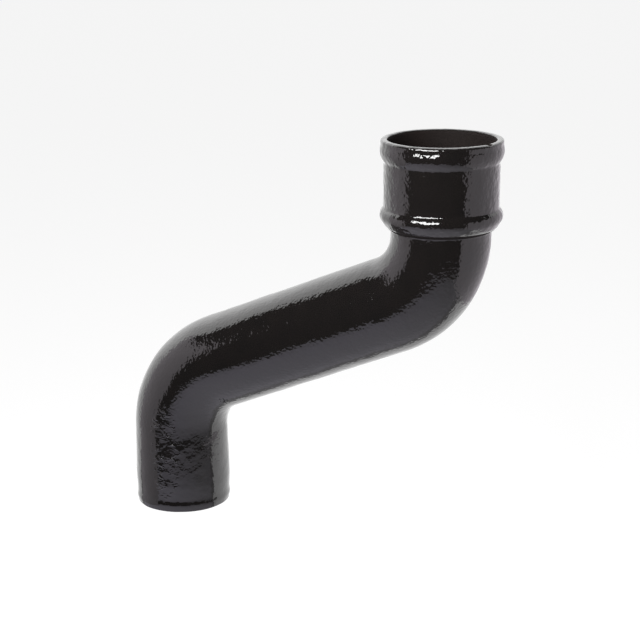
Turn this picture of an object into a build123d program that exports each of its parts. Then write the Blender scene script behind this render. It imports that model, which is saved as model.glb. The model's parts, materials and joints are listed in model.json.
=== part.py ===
from build123d import *
from math import radians, tan
import os

# A downpipe offset (swan neck): one hollow iron casting that carries a round rainwater pipe sideways,
# past a plinth or back under an eave. The spigot at the bottom goes down into the socket of the pipe
# below it, and the beaded socket at the top takes the spigot of the pipe above.
# The origin is the centre of the spigot's lower end. +Z runs up both upright legs, and +X from the
# spigot's axis to the socket's axis, so the casting is the same on both sides of the XZ plane.
# All sizes are in millimetres, and angles in degrees.

# The run of the pipe
projection = 230.0  # sideways distance between the two upright axes
arm_angle = 22.5  # the sloping arm's rise above level
bend_radius = 65.5  # centreline of both bends
spigot_leg = 67.5  # straight part below the lower bend
neck_leg = 5.0  # straight part between the upper bend and the socket's mouldings

# The pipe's section
pipe_radius = 39.9
pipe_wall = 3.5

# The spigot is cast a little fuller than the pipe, and draws in to it below the bend
spigot_fullness = 0.95
spigot_band = 46.0  # parallel part, from the lower end up
spigot_end_chamfer = 0.7

# The socket, which takes a spigot of the same size
joint_clearance = 1.35  # all round the upper pipe's spigot
socket_wall = 3.5
socket_height = 71.3  # from the top of the neck to the rim
socket_depth = 61.0  # from the rim down to the shoulder that the upper pipe stands on
shoulder_drop = 3.0  # the shoulder slopes in to the pipe's bore, so that it drains
lip_chamfer = 0.7  # inner edge of the mouth

# The ring round the lip, and the broad bead under it
lip_ring_rise = 2.3  # how far it stands out from the socket's plain band
lip_ring_height = 4.8
lip_bevel = 0.8  # the ring's upper edge is drawn in by two bevels, this one and a wider one above it
lip_shoulder = 2.8  # both bevels together, inwards and downwards
rim_bead_rise = 3.1
rim_bead_foot_depth = 18.0  # from the rim to the foot of the bead
rim_bead_crest_depth = 9.6
bead_foot_bevel = 1.5  # where either bead runs out into the plain band

# The lower bead, with the bevelled ring and the small step under it
lower_bead_rise = 3.1
lower_bead_height = 10.2
ring_top_rise = 1.1  # the ring's upper edge, beyond the socket's plain band
ring_foot_rise = 2.3  # its lower edge, beyond the neck
ring_height = 5.3
step_height = 1.0

# Points of the centreline. The bends turn the pipe from upright to the arm's slope and back again.
bend_turn = 90.0 - arm_angle
bend_reach = bend_radius * tan(radians(bend_turn / 2))
lower_corner = Vector(0, 0, spigot_leg + bend_reach)
upper_corner = lower_corner + Vector(projection, 0, projection * tan(radians(arm_angle)))
half_arm = (upper_corner - lower_corner) / 2
neck_top = upper_corner + Vector(0, 0, bend_reach + neck_leg)
rim_height = neck_top.Z + socket_height

# Radii that follow from the pipe's
pipe_bore_radius = pipe_radius - pipe_wall
spigot_radius = pipe_radius + spigot_fullness
socket_bore_radius = spigot_radius + joint_clearance
socket_radius = socket_bore_radius + socket_wall


def half_run(radius, leg):
    """A round bar from the end of an upright leg, round one bend, to the middle of the arm."""
    section = Circle(radius)
    upright = extrude(section, leg)
    bend_axis = Axis((bend_radius, 0, leg), (0, 1, 0))
    bend = revolve(Pos(0, 0, leg) * section, bend_axis, bend_turn)
    arm_start = Vector(0, 0, leg + bend_reach) + half_arm.normalized() * bend_reach
    arm = extrude(Plane(arm_start, z_dir=half_arm) * section, half_arm.length - bend_reach)
    return upright + bend + arm


def pipe_run(radius):
    """A round bar along the whole centreline. Its upper half is like the lower one, turned over."""
    upper_half = Rot(0, 180, 0) * half_run(radius, neck_leg)
    return half_run(radius, spigot_leg) + Pos(neck_top) * upper_half


def turned(profile, axis_x, base_z):
    """A solid turned from a profile drawn as (radius, height), set on an upright axis."""
    solid = revolve(Plane.XZ * profile, axis=Axis.Z)
    return Pos(axis_x, 0, base_z) * solid


def bevelled(profile, corner, length):
    """The profile with the corner nearest to the given point cut off."""
    return chamfer(profile.vertices().sort_by_distance(corner)[0], length)


# The spigot: a parallel band that enters the pipe below, then a slow draw down to the pipe's own size
spigot_profile = make_face(
    Polyline(
        (0, 0),
        (spigot_radius - spigot_end_chamfer, 0),
        (spigot_radius, spigot_end_chamfer),
        (spigot_radius, spigot_band),
        (pipe_radius, spigot_leg),
        (0, spigot_leg),
        close=True,
    )
)
spigot = turned(spigot_profile, 0, 0)

# The socket's outside, drawn from the neck up: step, bevelled ring, lower bead, plain band, rim bead, lip
ring_foot = (pipe_radius + ring_foot_rise, step_height)
ring_top = (socket_radius + ring_top_rise, step_height + ring_height)
lower_bead_crest = (socket_radius + lower_bead_rise, ring_top[1] + lower_bead_height / 2)
lower_bead_top = (socket_radius, ring_top[1] + lower_bead_height)
rim_bead_foot = (socket_radius, socket_height - rim_bead_foot_depth)
rim_bead_crest = (socket_radius + rim_bead_rise, socket_height - rim_bead_crest_depth)
lip_foot = (socket_radius + lip_ring_rise, socket_height - lip_ring_height)
lip_radius = socket_radius + lip_ring_rise
outline = [
    Polyline((0, socket_height), (0, 0), (pipe_radius, 0), ring_foot, ring_top),
    ThreePointArc(ring_top, lower_bead_crest, lower_bead_top),
    Line(lower_bead_top, rim_bead_foot),
    ThreePointArc(rim_bead_foot, rim_bead_crest, lip_foot),
    Polyline(
        lip_foot,
        (lip_radius, socket_height - lip_shoulder),
        (lip_radius - lip_bevel, socket_height - lip_bevel),
        (lip_radius - lip_shoulder, socket_height),
        (0, socket_height),
    ),
]
socket_profile = make_face(outline)
socket_profile = bevelled(socket_profile, lower_bead_top, bead_foot_bevel)
socket_profile = bevelled(socket_profile, rim_bead_foot, bead_foot_bevel)
socket = turned(socket_profile, projection, neck_top.Z)

# The socket's inside: a plain bore down to the shoulder, which slopes in to the pipe's own bore.
# The profile flares at the rim to leave the mouth's inner edge chamfered.
shoulder_height = socket_height - socket_depth
bore_profile = make_face(
    Polyline(
        (0, -neck_leg),
        (pipe_bore_radius, -neck_leg),
        (pipe_bore_radius, shoulder_height - shoulder_drop),
        (socket_bore_radius, shoulder_height),
        (socket_bore_radius, socket_height - lip_chamfer),
        (socket_bore_radius + lip_chamfer, socket_height),
        (0, socket_height),
        close=True,
    )
)
socket_bore = turned(bore_profile, projection, neck_top.Z)

# The casting: the outside forms joined, then the waterway cut through from end to end
casting = pipe_run(pipe_radius) + spigot + socket
casting = casting - pipe_run(pipe_bore_radius) - socket_bore

os.makedirs("parts", exist_ok=True)
export_step(casting, "parts/offset_casting.step")

print("height to the rim", round(rim_height, 2))
print("volume in cubic centimetres", round(casting.volume / 1000, 2))
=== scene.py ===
import json
import math

import bpy
from mathutils import Matrix, Vector


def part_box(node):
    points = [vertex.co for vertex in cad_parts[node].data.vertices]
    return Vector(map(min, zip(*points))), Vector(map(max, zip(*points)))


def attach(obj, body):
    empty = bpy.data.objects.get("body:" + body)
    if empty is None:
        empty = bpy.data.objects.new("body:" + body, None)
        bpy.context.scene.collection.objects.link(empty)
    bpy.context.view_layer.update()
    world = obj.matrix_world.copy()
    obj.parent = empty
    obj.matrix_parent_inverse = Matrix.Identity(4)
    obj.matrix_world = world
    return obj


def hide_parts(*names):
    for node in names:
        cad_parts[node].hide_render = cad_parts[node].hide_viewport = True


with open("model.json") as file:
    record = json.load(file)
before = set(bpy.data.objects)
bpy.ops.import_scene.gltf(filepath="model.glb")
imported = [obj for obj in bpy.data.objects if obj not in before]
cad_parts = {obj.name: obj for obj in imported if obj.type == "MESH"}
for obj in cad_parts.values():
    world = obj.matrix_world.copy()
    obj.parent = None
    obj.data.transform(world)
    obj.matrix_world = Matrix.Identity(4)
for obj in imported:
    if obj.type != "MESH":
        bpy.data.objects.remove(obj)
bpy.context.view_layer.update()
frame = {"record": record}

# The casting: one hollow piece of grey iron, poured in sand round a core. A plain spigot at the
# foot, two bends and a sloping arm, and a socket at the head whose mouth is strengthened by two
# beads. It is modelled as one closed skin, ring by ring: up the outside, over the lip, down the bore.
MM = 0.001  # metres
mounts = {mount["name"]: mount for mount in frame["record"]["mounts"]}
_, casting_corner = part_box("offset_casting")
socket_x, _, rim_z = mounts["socket"]["pos_m"]
spigot_radius = mounts["spigot"]["dims"]["r_mm"] * MM
mouth_radius = mounts["socket"]["dims"]["r_mm"] * MM
bead_radius = casting_corner[1]

wall = 3.5 * MM
pipe_radius = spigot_radius - 0.95 * MM
bore_radius = pipe_radius - wall
band_radius = mouth_radius + wall
toe_radius = spigot_radius - 0.85 * MM  # the spigot's lower end, drawn in by its lead-in
arm_angle = math.radians(22.5)
bend_turn = math.radians(90) - arm_angle
bend_radius = 65.5 * MM
spigot_leg = 67.5 * MM
socket_height = 71.3 * MM
neck_z = rim_z - socket_height
neck_leg = 5.0 * MM
bend_reach = bend_radius * math.tan(bend_turn / 2)
arm_length = socket_x / math.cos(arm_angle) - 2 * bend_reach
arm_direction = Vector((math.cos(arm_angle), 0, math.sin(arm_angle)))

around = 192  # edges in each ring
ring_spacing = 2.0 * MM  # outside, where the skin carries the sand's unevenness
bore_spacing = 6.0 * MM

bpy.ops.object.select_all(action="DESELECT")
bpy.ops.mesh.primitive_circle_add(vertices=around, radius=toe_radius)
casting = bpy.context.object
casting.name = "offset_casting_skin"
bpy.ops.object.mode_set(mode="EDIT")
bpy.ops.mesh.select_all(action="SELECT")


def new_ring(shift):
    """Extrudes the last ring, which is the selected one, by a shift."""
    bpy.ops.mesh.extrude_region_move(TRANSFORM_OT_translate={"value": shift, "orient_type": "GLOBAL"})


def turn_rings(profile, axis_x, base_z):
    """Adds a level ring for each (radius, height) of a profile. Its first is the last ring's."""
    for (old_radius, old_height), (radius, height) in zip(profile, profile[1:]):
        new_ring((0, 0, height - old_height))
        scale = radius / old_radius
        centre = (axis_x, 0, base_z + height)
        bpy.ops.transform.resize(value=(scale, scale, 1), center_override=centre)


def straight_rings(run, spacing):
    """Adds rings along a straight run."""
    steps = max(round(run.length / spacing), 1)
    for _ in range(steps):
        new_ring(run / steps)


def bend_rings(centre, turn, spacing):
    """Adds rings round a bend. A positive turn leans +Z over towards +X."""
    steps = round(abs(turn) * bend_radius / spacing)
    bpy.ops.mesh.spin(steps=steps, angle=-turn, center=centre, axis=(0, 1, 0))


def arc(start, middle, end, steps):
    """Points of the arc through three points, without its first."""
    (ax, ay), (bx, by), (cx, cy) = start, middle, end
    aa, bb, cc = ax**2 + ay**2, bx**2 + by**2, cx**2 + cy**2
    d = 2 * (ax * (by - cy) + bx * (cy - ay) + cx * (ay - by))
    ux = (aa * (by - cy) + bb * (cy - ay) + cc * (ay - by)) / d
    uy = (aa * (cx - bx) + bb * (ax - cx) + cc * (bx - ax)) / d
    radius = math.hypot(ax - ux, ay - uy)
    first = math.atan2(ay - uy, ax - ux)
    sweep = math.atan2(cy - uy, cx - ux) - first
    through = math.atan2(by - uy, bx - ux) - first
    if (through % math.tau) > (sweep % math.tau):
        sweep = (sweep % math.tau) - math.tau
    else:
        sweep = sweep % math.tau
    angles = [first + sweep * i / steps for i in range(1, steps + 1)]
    return [(ux + radius * math.cos(a), uy + radius * math.sin(a)) for a in angles]


def softened(outline, spacing, reach):
    """The outline at an even spacing, with its corners rounded as sand and paint leave them."""
    lengths = [math.dist(a, b) for a, b in zip(outline, outline[1:])]
    total = sum(lengths)
    count = round(total / spacing)

    def at(distance):
        distance = min(max(distance, 0), total)
        for (a, b), length in zip(zip(outline, outline[1:]), lengths):
            if distance <= length:
                t = distance / length
                return Vector((a[0] + (b[0] - a[0]) * t, a[1] + (b[1] - a[1]) * t))
            distance -= length
        return Vector(outline[-1])

    soft = []
    for i in range(count + 1):
        here = total * i / count
        near = min(reach, here, total - here)
        samples = [at(here + near * k / 4) for k in range(-4, 5)]
        soft.append(tuple(sum(samples, Vector((0, 0))) / len(samples)))
    return soft


# The spigot's outside, from the foot: a short lead-in, the parallel band, then the draw to the pipe
spigot_outline = [
    (toe_radius, 0),
    (spigot_radius - 0.05 * MM, 5.0 * MM),
    (spigot_radius - 0.55 * MM, 9.6 * MM),
    (spigot_radius, 22.0 * MM),
    (spigot_radius - 0.2 * MM, 36.0 * MM),
    (pipe_radius, spigot_leg),
]
turn_rings(softened(spigot_outline, spacing=1.0 * MM, reach=1.2 * MM), 0, 0)

lower_bend_centre = (bend_radius, 0, spigot_leg)
upper_bend_centre = (socket_x - bend_radius, 0, neck_z - neck_leg)
bend_rings(lower_bend_centre, bend_turn, ring_spacing)
straight_rings(arm_direction * arm_length, ring_spacing)
bend_rings(upper_bend_centre, -bend_turn, ring_spacing)

# The socket's mouldings, from the bend up, then over the lip and down the mouth to the shoulder
bevel_foot = (pipe_radius + 2.1 * MM, 0.8 * MM)
bevel_top = (band_radius + 1.0 * MM, 6.1 * MM)
lower_bead_crest = (bead_radius - 0.2 * MM, 11.0 * MM)
lower_bead_top = (band_radius, 17.6 * MM)
rim_bead_foot = (band_radius, socket_height - 18.0 * MM)
rim_bead_crest = (bead_radius - 0.1 * MM, socket_height - 9.6 * MM)
lip_foot = (band_radius + 2.3 * MM, socket_height - 4.8 * MM)
lip_side = (band_radius + 2.3 * MM, socket_height - 2.8 * MM)
lip_shoulder = (band_radius + 1.95 * MM, socket_height - 0.8 * MM)
lip_top = (band_radius + 0.4 * MM, socket_height)
mouth_edge = (mouth_radius + 0.7 * MM, socket_height)
mouth_inside = (mouth_radius, socket_height - 0.9 * MM)
shoulder_edge = (mouth_radius, 10.3 * MM)
shoulder_foot = (bore_radius, 7.3 * MM)
socket_outline = [
    (pipe_radius, -neck_leg),
    (pipe_radius + 0.3 * MM, 0),
    bevel_foot,
    *arc(bevel_foot, (band_radius - 0.9 * MM, 3.2 * MM), bevel_top, 6),
    *arc(bevel_top, lower_bead_crest, lower_bead_top, 16),
    rim_bead_foot,
    *arc(rim_bead_foot, rim_bead_crest, lip_foot, 16),
    lip_side,
    *arc(lip_side, lip_shoulder, lip_top, 6),
    mouth_edge,
    mouth_inside,
]
turn_rings(softened(socket_outline, spacing=0.8 * MM, reach=0.9 * MM), socket_x, neck_z)
mouth_outline = [mouth_inside, shoulder_edge, shoulder_foot, (bore_radius, -neck_leg)]
turn_rings(softened(mouth_outline, spacing=2.5 * MM, reach=1.0 * MM), socket_x, neck_z)

# The bore, back down to the foot, where its last ring is joined to the first
bend_rings(upper_bend_centre, bend_turn, bore_spacing)
straight_rings(arm_direction * -arm_length, bore_spacing)
bend_rings(lower_bend_centre, -bend_turn, bore_spacing)
straight_rings(Vector((0, 0, -spigot_leg)), bore_spacing)
bpy.ops.mesh.select_all(action="DESELECT")
bpy.ops.mesh.select_non_manifold()
bpy.ops.mesh.bridge_edge_loops()
bpy.ops.mesh.select_all(action="SELECT")
bpy.ops.mesh.remove_doubles(threshold=0.01 * MM)
bpy.ops.mesh.normals_make_consistent(inside=False)
bpy.ops.object.mode_set(mode="OBJECT")
bpy.ops.object.shade_smooth()

# The sand leaves the skin uneven: long swells and closer lumps, all below the pattern's surface
sand_forms = (("swell", 28 * MM, 0.42 * MM), ("lump", 8.5 * MM, 0.17 * MM))
for form_name, form_size, form_depth in sand_forms:
    unevenness = bpy.data.textures.new(form_name, type="CLOUDS")
    unevenness.noise_scale = form_size
    unevenness.noise_depth = 1
    displace = casting.modifiers.new(form_name, "DISPLACE")
    displace.texture = unevenness
    displace.texture_coords = "LOCAL"
    displace.direction = "NORMAL"
    displace.mid_level = 0.85
    displace.strength = form_depth
    bpy.ops.object.modifier_apply(modifier=displace.name)

# A small nick knocked out of the lip, at the front right
nick_angle = math.radians(-23)
nick_width = 3.8 * MM
nick_depth = 1.2 * MM
towards_nick = Vector((math.cos(nick_angle), math.sin(nick_angle), 0))
for vertex in casting.data.vertices:
    from_mouth = vertex.co - Vector((socket_x, 0, rim_z))
    outwards = from_mouth.dot(towards_nick) - mouth_radius
    sideways = abs(from_mouth.cross(towards_nick).z)
    on_lip = -0.5 * MM < outwards < 4.6 * MM and from_mouth.z > -1.0 * MM
    vertex.select = on_lip and sideways < nick_width / 2
for edge in casting.data.edges:
    edge.select = all(casting.data.vertices[i].select for i in edge.vertices)
nick_faces = []
for face in casting.data.polygons:
    corners_in_nick = [casting.data.vertices[i].select for i in face.vertices]
    face.select = all(corners_in_nick)
    if any(corners_in_nick):
        nick_faces.append(face.index)
bpy.ops.object.mode_set(mode="EDIT")
bpy.ops.transform.translate(
    value=(0, 0, -nick_depth),
    use_proportional_edit=True,
    proportional_edit_falloff="SHARP",
    proportional_size=1.8 * MM,
)
bpy.ops.object.mode_set(mode="OBJECT")

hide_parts("offset_casting")
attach(casting, "root")

# Gloss black oil paint over rough cast iron, brushed on thick: a dark mirror whose reflections have
# ragged edges, because the coat follows the sand's grain. Where it lay thickest, low on the spigot and
# round the lower bend, it has crept into short level creases as it dried.


def linear(hex_colour):
    """A hex sRGB colour as the linear RGBA that a shader takes."""
    channels = [int(hex_colour[i : i + 2], 16) / 255 for i in (1, 3, 5)]
    return [c / 12.92 if c <= 0.04045 else ((c + 0.055) / 1.055) ** 2.4 for c in channels] + [1]


def add_node(material, kind, settings=None, inputs=None):
    """Adds a node, sets its properties and sockets, and links the sockets that are given an output."""
    node = material.node_tree.nodes.new(kind)
    for name, value in (settings or {}).items():
        setattr(node, name, value)
    for name, value in (inputs or {}).items():
        if isinstance(value, bpy.types.NodeSocket):
            material.node_tree.links.new(value, node.inputs[name])
        else:
            node.inputs[name].default_value = value
    return node


gloss_paint = bpy.data.materials.new("gloss_black_oil_paint_on_cast_iron")
gloss_paint.use_nodes = True
gloss_paint.node_tree.nodes.clear()
place = add_node(gloss_paint, "ShaderNodeTexCoord").outputs["Object"]

# Sand grain under the paint, flooded by it on the spigot, and lumps that are higher on the socket. The
# grain is drawn coarser than the sand's own, which is too fine to show.
grain_size = 2.2 * MM
grain_height_on_spigot = 0.05 * MM
grain_height_above = 0.18 * MM
lump_size = 6.0 * MM
lump_height_on_pipe = 0.22 * MM
lump_height_on_socket = 0.7 * MM
sand_grain = add_node(
    gloss_paint,
    "ShaderNodeTexNoise",
    inputs={"Vector": place, "Scale": 1 / grain_size, "Detail": 0.7, "Roughness": 0.5},
)
sand_lumps = add_node(
    gloss_paint,
    "ShaderNodeTexNoise",
    inputs={"Vector": place, "Scale": 1 / lump_size, "Detail": 2.0, "Roughness": 0.5},
)

# Creases in the thick coat: short ridges across the pipe, in one long patch up the spigot's front
crease_gap = 3.8 * MM
crease_length = 6.0 * MM
crease_height = 0.38 * MM
thick_patch_size = 38 * MM
thickest_spot = (1 * MM, -41 * MM, 56 * MM)
thickest_stretch = (1.0, 1.0, 3.4)
crease_place = add_node(
    gloss_paint,
    "ShaderNodeMapping",
    inputs={"Vector": place, "Scale": (1 / crease_length, 1 / crease_length, 1 / crease_gap)},
)
creases = add_node(
    gloss_paint,
    "ShaderNodeTexNoise",
    inputs={"Vector": crease_place.outputs["Vector"], "Scale": 1.0, "Detail": 1.0, "Distortion": 0.9},
)
thick_patches = add_node(
    gloss_paint,
    "ShaderNodeTexNoise",
    inputs={"Vector": place, "Scale": 1 / thick_patch_size, "Detail": 1.0},
)
thickest_place = add_node(
    gloss_paint,
    "ShaderNodeMapping",
    {"vector_type": "TEXTURE"},
    {"Vector": place, "Location": thickest_spot, "Scale": thickest_stretch},
)
from_thickest = add_node(
    gloss_paint,
    "ShaderNodeVectorMath",
    {"operation": "LENGTH"},
    {0: thickest_place.outputs["Vector"]},
)
near_thickest = add_node(
    gloss_paint,
    "ShaderNodeMapRange",
    {"interpolation_type": "SMOOTHSTEP"},
    {
        "Value": from_thickest.outputs["Value"],
        "From Min": 19 * MM,
        "From Max": 9 * MM,
        "To Min": 0.0,
        "To Max": 0.5,
    },
)
thickness = add_node(
    gloss_paint,
    "ShaderNodeMath",
    {"operation": "MULTIPLY_ADD"},
    {0: thick_patches.outputs["Fac"], 1: 0.6, 2: near_thickest.outputs["Result"]},
)
creased = add_node(
    gloss_paint,
    "ShaderNodeMapRange",
    {"interpolation_type": "SMOOTHSTEP"},
    {
        "Value": thickness.outputs["Value"],
        "From Min": 0.5,
        "From Max": 0.8,
        "To Min": 0.0,
        "To Max": crease_height,
    },
)
ridges = add_node(
    gloss_paint,
    "ShaderNodeMapRange",
    {"interpolation_type": "SMOOTHSTEP"},
    {"Value": creases.outputs["Fac"], "From Min": 0.5, "From Max": 0.75},
)
crease_relief = add_node(
    gloss_paint,
    "ShaderNodeMath",
    {"operation": "MULTIPLY"},
    {0: ridges.outputs["Result"], 1: creased.outputs["Result"]},
)
height_on_casting = add_node(gloss_paint, "ShaderNodeSeparateXYZ", inputs={"Vector": place})
lump_height = add_node(
    gloss_paint,
    "ShaderNodeMapRange",
    inputs={
        "Value": height_on_casting.outputs["Z"],
        "From Min": neck_z - 20 * MM,
        "From Max": neck_z + 10 * MM,
        "To Min": lump_height_on_pipe,
        "To Max": lump_height_on_socket,
    },
)
grain_height = add_node(
    gloss_paint,
    "ShaderNodeMapRange",
    inputs={
        "Value": height_on_casting.outputs["Z"],
        "From Min": spigot_leg - 10 * MM,
        "From Max": spigot_leg + 30 * MM,
        "To Min": grain_height_on_spigot,
        "To Max": grain_height_above,
    },
)
lumpy_relief = add_node(
    gloss_paint,
    "ShaderNodeMath",
    {"operation": "MULTIPLY_ADD"},
    {0: sand_lumps.outputs["Fac"], 1: lump_height.outputs["Result"], 2: crease_relief.outputs["Value"]},
)
relief = add_node(
    gloss_paint,
    "ShaderNodeMath",
    {"operation": "MULTIPLY_ADD"},
    {0: sand_grain.outputs["Fac"], 1: grain_height.outputs["Result"], 2: lumpy_relief.outputs["Value"]},
)
paint_bump = add_node(
    gloss_paint,
    "ShaderNodeBump",
    inputs={"Height": relief.outputs["Value"], "Strength": 1.0, "Distance": 1.0},
)

# The black is a shade browner where the coat is thin, and a little duller in clouds
cloud_size = 17 * MM
cloudiness = add_node(
    gloss_paint,
    "ShaderNodeTexNoise",
    inputs={"Vector": place, "Scale": 1 / cloud_size, "Detail": 4.0, "Roughness": 0.6},
)
paint_colour = add_node(
    gloss_paint,
    "ShaderNodeMix",
    {"data_type": "RGBA"},
    {"Factor": cloudiness.outputs["Fac"], 6: linear("#0b0a0a"), 7: linear("#120f0e")},
)
paint_roughness = add_node(
    gloss_paint,
    "ShaderNodeMapRange",
    inputs={
        "Value": cloudiness.outputs["Fac"],
        "From Min": 0.3,
        "From Max": 0.7,
        "To Min": 0.04,
        "To Max": 0.09,
    },
)
gloss_shader = add_node(
    gloss_paint,
    "ShaderNodeBsdfPrincipled",
    inputs={
        "Base Color": paint_colour.outputs[2],
        "Roughness": paint_roughness.outputs["Result"],
        "IOR": 1.5,
        "Normal": paint_bump.outputs["Normal"],
    },
)
add_node(gloss_paint, "ShaderNodeOutputMaterial", inputs={"Surface": gloss_shader.outputs["BSDF"]})

# Inside, a single thin coat of bitumen over the core's rough skin, brown-black and nearly matt. The
# nick in the lip is as dull, because the gloss has gone from it.
bore_coat = bpy.data.materials.new("bitumen_coat_in_the_bore")
bore_coat.use_nodes = True
bore_coat.node_tree.nodes.clear()
bore_place = add_node(bore_coat, "ShaderNodeTexCoord").outputs["Object"]
core_grain_size = 2.0 * MM
core_grain_height = 0.15 * MM
stain_size = 14 * MM
core_grain = add_node(
    bore_coat,
    "ShaderNodeTexNoise",
    inputs={"Vector": bore_place, "Scale": 1 / core_grain_size, "Detail": 3.0},
)
core_bump = add_node(
    bore_coat,
    "ShaderNodeBump",
    inputs={"Height": core_grain.outputs["Fac"], "Strength": 1.0, "Distance": core_grain_height},
)
stain = add_node(
    bore_coat,
    "ShaderNodeTexNoise",
    inputs={"Vector": bore_place, "Scale": 1 / stain_size, "Detail": 4.0, "Roughness": 0.6},
)
bore_colour = add_node(
    bore_coat,
    "ShaderNodeMix",
    {"data_type": "RGBA"},
    {"Factor": stain.outputs["Fac"], 6: linear("#100c0b"), 7: linear("#181210")},
)
bore_shader = add_node(
    bore_coat,
    "ShaderNodeBsdfPrincipled",
    inputs={
        "Base Color": bore_colour.outputs[2],
        "Roughness": 0.8,
        "IOR": 1.5,
        "Specular IOR Level": 0.15,
        "Normal": core_bump.outputs["Normal"],
    },
)
add_node(bore_coat, "ShaderNodeOutputMaterial", inputs={"Surface": bore_shader.outputs["BSDF"]})

casting.data.materials.append(gloss_paint)
casting.data.materials.append(bore_coat)

# The bore's faces are told by their distance from the centreline, and the mouth's by their radius
bore_margin = 1.5 * MM
angle_slack = 0.01  # so that no face is missed where a bend meets a straight run
bend_side = Vector((-math.cos(bend_turn), 0, math.sin(bend_turn)))
arm_start = Vector(lower_bend_centre) + bend_radius * bend_side


def distance_from_run(point):
    """How far a point lies from the centreline of the pipe."""
    distances = [math.inf]
    if point.z <= spigot_leg:
        distances.append(math.hypot(point.x, point.y))
    if point.z >= neck_z - neck_leg:
        distances.append(math.hypot(point.x - socket_x, point.y))
    for centre, side in ((lower_bend_centre, 1), (upper_bend_centre, -1)):
        dx, dz = (point.x - centre[0]) * side, (point.z - centre[2]) * side
        if -angle_slack <= math.atan2(dz, -dx) <= bend_turn + angle_slack:
            distances.append(math.hypot(math.hypot(dx, dz) - bend_radius, point.y))
    along = (point - arm_start).dot(arm_direction)
    if 0 <= along <= arm_length:
        distances.append((point - arm_start - arm_direction * along).length)
    return min(distances)


for face in casting.data.polygons:
    from_socket_axis = math.hypot(face.center.x - socket_x, face.center.y)
    below_lip = neck_z < face.center.z < rim_z - bore_margin
    in_mouth = below_lip and from_socket_axis < mouth_radius + bore_margin
    in_bore = distance_from_run(face.center) < bore_radius + bore_margin
    if in_mouth or in_bore or face.index in nick_faces:
        face.material_index = 1

# The camera stands to the left of the casting's front and looks a little down on it. It comes before
# the studio, whose paper, cards and lamps are set out from its line of sight.
camera_yaw = math.radians(20.88)
camera_pitch = math.radians(16.25)
camera_roll = math.radians(-0.62)
camera_target = Vector((0.115, 0, 0.16327))
camera_distance = 1.33325

to_the_back = Vector((-math.sin(camera_yaw), math.cos(camera_yaw), 0))
to_the_right = Vector((math.cos(camera_yaw), math.sin(camera_yaw), 0))
ahead = to_the_back * math.cos(camera_pitch) - Vector((0, 0, math.sin(camera_pitch)))
upright = to_the_right.cross(ahead)
rolled_right = to_the_right * math.cos(camera_roll) + upright * math.sin(camera_roll)
rolled_up = upright * math.cos(camera_roll) - to_the_right * math.sin(camera_roll)

camera_data = bpy.data.cameras.new("photograph_view")
camera_data.sensor_width = 36
camera_data.lens = 90.99
camera_data.shift_x = 0.02348
camera_data.shift_y = 0.01205
camera = bpy.data.objects.new("photograph_view", camera_data)
bpy.context.collection.objects.link(camera)
camera_turn = Matrix((rolled_right, rolled_up, -ahead)).transposed().to_4x4()
camera.matrix_world = Matrix.Translation(camera_target - ahead * camera_distance) @ camera_turn
bpy.context.scene.camera = camera

# The floor: white paper well below the casting, which hangs clear of it. It is cut round on the
# camera's side and runs far back, and the casting's lower half mirrors its round edge.
floor_z = -270 * MM
front_radius = 0.97
front_right, front_back = 0.1, -0.1  # centre of its round front, from the spigot
paper_depth = 11.0
paper_width = 12.0

bpy.ops.object.select_all(action="DESELECT")
bpy.ops.mesh.primitive_circle_add(
    vertices=128, radius=front_radius, fill_type="NGON", location=(0, 0, 0)
)
paper_front = bpy.context.object
paper_front.name = "paper_front"
bpy.ops.object.mode_set(mode="EDIT")
bpy.ops.mesh.select_all(action="SELECT")
bpy.ops.transform.translate(value=(front_right, front_back, 0))
bpy.ops.mesh.bisect(plane_co=(0, 0, 0), plane_no=(0, 1, 0), clear_outer=True)
bpy.ops.object.mode_set(mode="OBJECT")
bpy.ops.object.select_all(action="DESELECT")
bpy.ops.mesh.primitive_plane_add(size=1, location=(0, 0, 0))
paper_floor = bpy.context.object
paper_floor.name = "paper_floor"
bpy.ops.object.mode_set(mode="EDIT")
bpy.ops.mesh.select_all(action="SELECT")
bpy.ops.transform.resize(value=(paper_width, paper_depth, 1), center_override=(0, 0, 0))
bpy.ops.transform.translate(value=(0, paper_depth / 2, 0))
bpy.ops.object.mode_set(mode="OBJECT")


def set_out(piece):
    """Turns a studio piece, drawn as (right, back, up) from the spigot, to the line of sight."""
    for corner in piece.data.vertices:
        right, back, up = corner.co
        corner.co = to_the_right * right + to_the_back * back + Vector((0, 0, up))


for sheet in (paper_front, paper_floor):
    for corner in sheet.data.vertices:
        corner.co.z = floor_z
    set_out(sheet)

# Matt white paper. To the eye and in the paint it is as white as a lit backdrop, and it keeps the
# casting's soft shadow. In what the paint mirrors it also glows with painted light: a bright painted
# glow behind the casting, a painted pool of light at the front left that dims towards the round
# edge, and a painted dark line between them.
white_paper = bpy.data.materials.new("white_background_paper")
white_paper.use_nodes = True
white_paper.node_tree.nodes.clear()
# Painted light, seen only in what the paint mirrors: where the painted pool of light lies, and where
# the painted dark line across the glow begins and ends
pool_right, pool_back = -0.3, -0.5  # middle of the brightest pool
dark_line_front, dark_line_back = 0.05, 0.15  # where the dark line begins and ends, along world Y
pool_glow, far_glow = 1.1, 0.27
white_to_camera = 0.62  # with the light that falls on the paper, this comes to about white
paper_shader = add_node(white_paper, "ShaderNodeBsdfDiffuse", inputs={"Color": linear("#c8c8c8")})
paper_place = add_node(white_paper, "ShaderNodeTexCoord").outputs["Object"]
paper_turned = add_node(
    white_paper,
    "ShaderNodeMapping",
    {"vector_type": "POINT"},
    {"Vector": paper_place, "Rotation": (0, 0, -camera_yaw)},
).outputs["Vector"]
from_pool = add_node(
    white_paper,
    "ShaderNodeVectorMath",
    {"operation": "DISTANCE"},
    {0: paper_turned, 1: (pool_right, pool_back, floor_z)},
)
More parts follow.
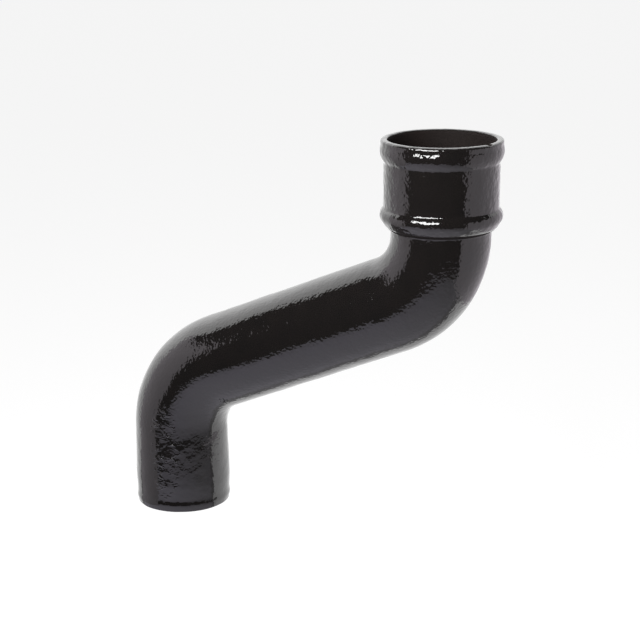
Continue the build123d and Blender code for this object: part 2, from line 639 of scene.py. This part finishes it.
# A painted pool of light, dimming from pool_glow at its middle to far_glow a metre out
pool = add_node(
    white_paper,
    "ShaderNodeMapRange",
    inputs={"Value": from_pool.outputs["Value"], "To Min": pool_glow, "To Max": far_glow},
)
from_middle = add_node(
    white_paper,
    "ShaderNodeVectorMath",
    {"operation": "DISTANCE"},
    {0: paper_turned, 1: (front_right, front_back, floor_z)},
)
# Painted falloff: the glow dims to three quarters towards the round front edge
fading = add_node(
    white_paper,
    "ShaderNodeMapRange",
    inputs={
        "Value": from_middle.outputs["Value"],
        "From Min": 0.7,
        "From Max": 0.95,
        "To Min": 1.0,
        "To Max": 0.75,
    },
)
lit_front = add_node(
    white_paper,
    "ShaderNodeMath",
    {"operation": "MULTIPLY"},
    {0: pool.outputs["Result"], 1: fading.outputs["Result"]},
)
on_paper = add_node(white_paper, "ShaderNodeSeparateXYZ", inputs={"Vector": paper_place})
# A painted dark line: the front glow drops to 0.15 of itself across a band along world Y
painted_dark_line = add_node(
    white_paper,
    "ShaderNodeMapRange",
    inputs={
        "Value": on_paper.outputs["Y"],
        "From Min": dark_line_front,
        "From Max": dark_line_front + 0.02,
        "To Min": 1.0,
        "To Max": 0.15,
    },
)
front_glow = add_node(
    white_paper,
    "ShaderNodeMath",
    {"operation": "MULTIPLY"},
    {0: lit_front.outputs["Value"], 1: painted_dark_line.outputs["Result"]},
)
# A painted glow behind the casting, brighter towards +X
back_glow = add_node(
    white_paper,
    "ShaderNodeMapRange",
    inputs={
        "Value": on_paper.outputs["X"],
        "From Min": 0.2,
        "From Max": 0.7,
        "To Min": 1.1,
        "To Max": 1.5,
    },
)
behind = add_node(
    white_paper,
    "ShaderNodeMapRange",
    inputs={
        "Value": on_paper.outputs["Y"],
        "From Min": dark_line_back,
        "From Max": dark_line_back + 0.01,
        "To Min": front_glow.outputs["Value"],
        "To Max": back_glow.outputs["Result"],
    },
)
# The painted glow is given to glossy and transmission rays only; to the camera the paper shows only its
# even white
paper_ray = add_node(white_paper, "ShaderNodeLightPath")
mirrored = add_node(
    white_paper,
    "ShaderNodeMath",
    {"operation": "MAXIMUM"},
    {0: paper_ray.outputs["Is Glossy Ray"], 1: paper_ray.outputs["Is Transmission Ray"]},
)
seen_white = add_node(
    white_paper,
    "ShaderNodeMath",
    {"operation": "MULTIPLY"},
    {0: paper_ray.outputs["Is Camera Ray"], 1: white_to_camera},
)
paper_strength = add_node(
    white_paper,
    "ShaderNodeMath",
    {"operation": "MULTIPLY_ADD"},
    {0: mirrored.outputs["Value"], 1: behind.outputs["Result"], 2: seen_white.outputs["Value"]},
)
in_front = add_node(
    white_paper,
    "ShaderNodeMath",
    {"operation": "LESS_THAN"},
    {0: on_paper.outputs["Y"], 1: dark_line_back},
)
# A painted cool tint on the glow in front of the dark line
cool_front = add_node(
    white_paper,
    "ShaderNodeMath",
    {"operation": "MULTIPLY"},
    {0: mirrored.outputs["Value"], 1: in_front.outputs["Value"]},
)
cool_light = add_node(
    white_paper,
    "ShaderNodeMix",
    {"data_type": "RGBA"},
    {"Factor": cool_front.outputs["Value"], 6: linear("#ffffff"), 7: linear("#ede8ff")},
)
paper_glow = add_node(
    white_paper,
    "ShaderNodeEmission",
    inputs={"Color": cool_light.outputs[2], "Strength": paper_strength.outputs["Value"]},
)
paper_surface = add_node(
    white_paper,
    "ShaderNodeAddShader",
    inputs={0: paper_shader.outputs["BSDF"], 1: paper_glow.outputs["Emission"]},
)
add_node(white_paper, "ShaderNodeOutputMaterial", inputs={"Surface": paper_surface.outputs["Shader"]})
for sheet in (paper_front, paper_floor):
    sheet.data.materials.append(white_paper)

# The room: white to the camera all round, and an even soft light on matt surfaces. What the paint
# mirrors is a dark room on the camera's side, and a lit backdrop overhead and behind.
matt_light = 0.5
dark_side = 0.08
dark_up_to, lit_from = 0.24, 0.29  # how far a direction points to the back, as the sine of an angle
room = bpy.data.worlds.new("studio_room")
bpy.context.scene.world = room
room.use_nodes = True
room.node_tree.nodes.clear()
outward = add_node(room, "ShaderNodeTexCoord")
from_camera = add_node(
    room,
    "ShaderNodeMapping",
    {"vector_type": "POINT"},
    {"Vector": outward.outputs["Generated"], "Rotation": (0, 0, -camera_yaw)},
)
across = add_node(room, "ShaderNodeSeparateXYZ", inputs={"Vector": from_camera.outputs["Vector"]})
backdrop_light = add_node(
    room,
    "ShaderNodeMapRange",
    {"interpolation_type": "SMOOTHSTEP"},
    {
        "Value": across.outputs["Z"],
        "From Min": 0.0,
        "From Max": 0.5,
        "To Min": 1.6,
        "To Max": 2.6,
    },
)
brighter_left = add_node(
    room,
    "ShaderNodeMapRange",
    inputs={
        "Value": across.outputs["X"],
        "From Min": -0.5,
        "From Max": 0.7,
        "To Min": 1.0,
        "To Max": 0.55,
    },
)
backdrop_strength = add_node(
    room,
    "ShaderNodeMath",
    {"operation": "MULTIPLY"},
    {0: backdrop_light.outputs["Result"], 1: brighter_left.outputs["Result"]},
)
room_light = add_node(
    room,
    "ShaderNodeMapRange",
    {"interpolation_type": "SMOOTHSTEP"},
    {
        "Value": across.outputs["Y"],
        "From Min": dark_up_to,
        "From Max": lit_from,
        "To Min": dark_side,
        "To Max": backdrop_strength.outputs["Value"],
    },
)
room_ray = add_node(room, "ShaderNodeLightPath")
on_matt_or_gloss = add_node(
    room,
    "ShaderNodeMix",
    {"data_type": "FLOAT"},
    {"Factor": room_ray.outputs["Is Glossy Ray"], 2: matt_light, 3: room_light.outputs["Result"]},
)
seen_through = add_node(
    room,
    "ShaderNodeMath",
    {"operation": "MAXIMUM"},
    {0: room_ray.outputs["Is Camera Ray"], 1: room_ray.outputs["Is Transmission Ray"]},
)
room_strength = add_node(
    room,
    "ShaderNodeMix",
    {"data_type": "FLOAT"},
    {"Factor": seen_through.outputs["Value"], 2: on_matt_or_gloss.outputs[0], 3: 1.0},
)
room_colour = add_node(
    room,
    "ShaderNodeBackground",
    inputs={"Color": (1, 1, 1, 1), "Strength": room_strength.outputs[0]},
)
add_node(room, "ShaderNodeOutputWorld", inputs={"Surface": room_colour.outputs["Background"]})


# A white card stands close on either side. No lamp lights it: it glows with painted light, on the
# left card brighter towards its top, so that the paint mirrors it as a pale panel with a sharp edge.
# The left one's top slopes up to the back. The camera doesn't see the cards.
def white_card(name, right, front, back, bottom, front_top, back_top, low_glow, high_glow):
    """An upright card to the right or left, seen edge-on from the camera."""
    bpy.ops.object.select_all(action="DESELECT")
    bpy.ops.mesh.primitive_plane_add(size=1, location=(0, 0, 0))
    card = bpy.context.object
    card.name = name
    foot = [(right, front, bottom), (right, back, bottom)]
    corners = foot + [(right, front, front_top), (right, back, back_top)]
    for vertex, corner in zip(card.data.vertices, corners):
        vertex.co = corner
    set_out(card)
    card.visible_camera = False
    card_face = bpy.data.materials.new(name + "_face")
    card_face.use_nodes = True
    card_face.node_tree.nodes.clear()
    card_place = add_node(card_face, "ShaderNodeTexCoord").outputs["Object"]
    card_up = add_node(card_face, "ShaderNodeSeparateXYZ", inputs={"Vector": card_place})
    # Painted light: the card's glow runs from low_glow at its foot to high_glow at its top
    lit = add_node(
        card_face,
        "ShaderNodeMapRange",
        inputs={
            "Value": card_up.outputs["Z"],
            "From Min": bottom,
            "From Max": front_top,
            "To Min": low_glow,
            "To Max": high_glow,
        },
    )
    glow = add_node(
        card_face,
        "ShaderNodeEmission",
        inputs={"Color": linear("#fff8ff"), "Strength": lit.outputs["Result"]},
    )
    add_node(card_face, "ShaderNodeOutputMaterial", inputs={"Surface": glow.outputs["Emission"]})
    card.data.materials.append(card_face)


white_card(
    "left_card",
    right=-0.47,
    front=-0.26,
    back=0.25,
    bottom=-0.27,
    front_top=0.39,
    back_top=0.57,
    low_glow=0.7,
    high_glow=1.5,
)
white_card(
    "right_card",
    right=0.515,
    front=-0.42,
    back=0.55,
    bottom=-0.10,
    front_top=0.37,
    back_top=0.37,
    low_glow=1.2,
    high_glow=1.2,
)


# The lamps: a broad softbox overhead, and a narrow strip at the front left, which gives the beads
# their bright glints.
def softbox(name, right, back, height, facing, width, tall, radiance):
    """A lamp set out from the spigot along the camera's level line of sight, turned to face a point."""
    spot = to_the_right * right + to_the_back * back + Vector((0, 0, height))
    aim = to_the_right * facing[0] + to_the_back * facing[1] + Vector((0, 0, facing[2]))
    lamp_data = bpy.data.lights.new(name, "AREA")
    lamp_data.shape = "RECTANGLE"
    lamp_data.size = width
    lamp_data.size_y = tall
    lamp_data.energy = radiance * math.pi * width * tall
    lamp = bpy.data.objects.new(name, lamp_data)
    bpy.context.collection.objects.link(lamp)
    lamp.location = spot
    lamp.rotation_euler = (spot - aim).to_track_quat("Z", "Y").to_euler()
    lamp.visible_camera = False


softbox(
    "overhead_softbox",
    right=0.1,
    back=0.45,
    height=1.9,
    facing=(0.1, 0.1, 0.15),
    width=1.6,
    tall=1.0,
    radiance=1.2,
)
softbox(
    "front_strip",
    right=0.008,
    back=-0.403,
    height=0.44,
    facing=(0.215, -0.082, 0.30),
    width=0.345,
    tall=0.14,
    radiance=26,
)

bpy.context.scene.view_settings.view_transform = "Standard"
